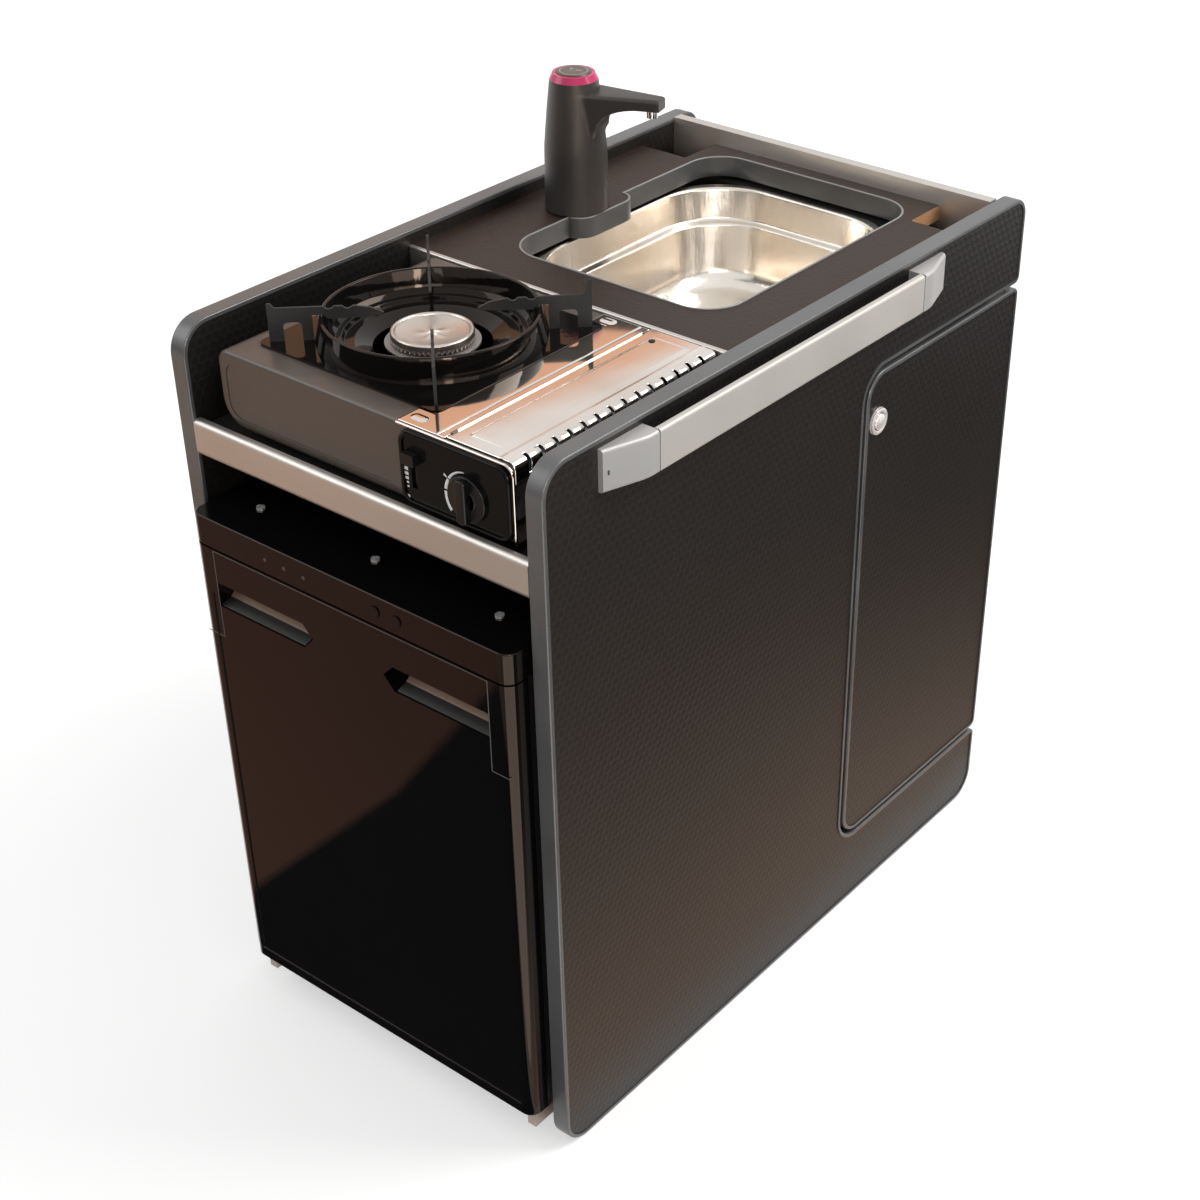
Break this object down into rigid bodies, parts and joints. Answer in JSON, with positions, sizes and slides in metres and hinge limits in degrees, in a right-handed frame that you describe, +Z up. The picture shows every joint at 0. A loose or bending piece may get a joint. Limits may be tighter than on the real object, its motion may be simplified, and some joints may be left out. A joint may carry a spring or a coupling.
{
  "type": "campervan kitchen pod",
  "caption": "Narrow campervan kitchen cabinet with a gas stove in a front well, a steel sink with a pump tap, a pull-out fridge drawer, a side storage door and a pull bar.",
  "frame": {"origin": "centre of the cabinet's plan, on the floor that it stands on", "axes": "+Z up, -Y to the front with the stove and the fridge, +X to the side with the door"},
  "size_m": [0.443, 0.7432, 0.8482],
  "materials": {
    "laminate_black": "fine embossed laminate",
    "worktop_black": "fine grained laminate",
    "board_plain": "sealed plywood",
    "edging_grey": "satin edging",
    "lining_grey": "satin moulding",
    "alu_satin": "satin anodised",
    "steel_plain": "zinc plated",
    "steel_bright": "polished stainless",
    "chrome_bright": "polished",
    "tap_charcoal": "matte moulded",
    "ring_magenta": "glossy moulded",
    "tap_disc": "satin moulded",
    "container_white": "blow moulded",
    "stove_paint": "satin metallic paint",
    "enamel_black": "gloss enamel",
    "support_black": "matte enamel",
    "rubber_black": "moulded",
    "burner_alloy": "cast",
    "cartridge_paint": "plain paint",
    "panel_gloss": "gloss moulded",
    "knob_black": "satin moulded",
    "fridge_gloss": "piano gloss",
    "fridge_shell": "foamed shell",
    "lamp_clear": "tinted lens",
    "seal_grey": "soft extrusion",
    "bin_white": "moulded",
    "compressor_black": "satin paint"
  },
  "bodies": {
    "cabinet": {"side_panel_left": "laminate_black", "side_panel_right": "laminate_black", "worktop": "worktop_black", "floor_panel": "board_plain", "bulkhead": "board_plain", "back_panel": "board_plain", "stove_shelf": "board_plain", "stove_well_wall": "board_plain", "sink_bearers": "board_plain", "edge_trim_left": "edging_grey", "edge_trim_right": "edging_grey", "sink_lining": "lining_grey", "handle_bar": "alu_satin", "handle_end_front": "alu_satin", "handle_end_rear": "alu_satin", "front_rail": "alu_satin", "mid_rail": "alu_satin", "rear_rail": "alu_satin", "door_pivot_pins": "steel_plain", "handle_screws": "steel_plain", "fascia_screws": "steel_plain", "runner_channels": "steel_plain", "sink_pan": "steel_bright", "tap_nozzle": "chrome_bright", "tap_body": "tap_charcoal", "tap_pump": "tap_charcoal", "tap_ring": "ring_magenta", "water_container": "container_white", "fridge_fascia": "fridge_gloss", "fridge_case": "fridge_shell", "fridge_lamps": "lamp_clear", "fridge_compressor": "compressor_black"},
    "drawer": {"drawer_grip_band": "fridge_gloss", "drawer_front": "fridge_gloss", "drawer_backing": "fridge_shell", "drawer_seal": "seal_grey", "drawer_bin": "bin_white", "runner_slides": "steel_plain"},
    "door": {"side_door": "laminate_black", "door_trim": "edging_grey", "catch_body": "chrome_bright"},
    "catch_push": {"catch_button": "chrome_bright"},
    "catch_tongue": {"catch_bolt": "steel_plain"},
    "stove": {"stove_case": "stove_paint", "stove_feet": "rubber_black", "cover_strip": "steel_bright", "burner_head": "burner_alloy", "burner_cap": "steel_bright", "gas_cartridge": "cartridge_paint", "gas_regulator": "burner_alloy", "control_panel": "panel_gloss"},
    "stove_top": {"drip_tray": "enamel_black", "windshield_ring": "enamel_black", "pan_supports": "support_black"},
    "lid": {"cartridge_lid": "steel_bright"},
    "knob": {"gas_knob": "knob_black"},
    "lever": {"lock_lever": "knob_black"},
    "key_left": {"fridge_key_left": "fridge_gloss"},
    "key_right": {"fridge_key_right": "fridge_gloss"},
    "tap_press": {"tap_button": "tap_disc"}
  },
  "joints": [
    {"name": "drawer_slide", "type": "slide", "parent": "cabinet", "child": "drawer", "axis": [0, -1, 0], "range_m": [0, 0.27]},
    {"name": "door_hinge", "type": "hinge", "parent": "cabinet", "child": "door", "pos_m": [0.204, 0.351, 0.363], "axis": [0, 0, 1], "range_deg": [0, 100]},
    {"name": "catch_push_slide", "type": "slide", "parent": "door", "child": "catch_push", "axis": [-1, 0, 0], "range_m": [0, 0.003]},
    {"name": "catch_tongue_slide", "type": "slide", "parent": "door", "child": "catch_tongue", "axis": [0, -1, 0], "range_m": [0, 0.012]},
    {"name": "stove_lift", "type": "slide", "parent": "cabinet", "child": "stove", "axis": [0, 0, 1], "range_m": [0, 0.12]},
    {"name": "stove_top_lift", "type": "slide", "parent": "stove", "child": "stove_top", "axis": [0, 0, 1], "range_m": [0, 0.06]},
    {"name": "lid_hinge", "type": "hinge", "parent": "stove", "child": "lid", "pos_m": [0.0985, -0.2145, 0.7141], "axis": [0, -1, 0], "range_deg": [0, 80]},
    {"name": "knob_turn", "type": "hinge", "parent": "stove", "child": "knob", "pos_m": [0.123, -0.349, 0.669], "axis": [0, -1, 0], "range_deg": [0, 150]},
    {"name": "lever_slide", "type": "slide", "parent": "stove", "child": "lever", "axis": [0, 0, -1], "range_m": [0, 0.024]},
    {"name": "key_left_press", "type": "slide", "parent": "cabinet", "child": "key_left", "axis": [0, 1, 0], "range_m": [0, 0.0009], "stiffness_N_per_m": 300},
    {"name": "key_right_press", "type": "slide", "parent": "cabinet", "child": "key_right", "axis": [0, 1, 0], "range_m": [0, 0.0009], "stiffness_N_per_m": 300},
    {"name": "tap_press_slide", "type": "slide", "parent": "cabinet", "child": "tap_press", "axis": [0, 0, -1], "range_m": [0, 0.0015], "stiffness_N_per_m": 300, "springref_m": -0.0012}
  ],
  "couplings": [
    {"joint": "catch_tongue_slide", "follows": "catch_push_slide", "ratio": 4}
  ]
}
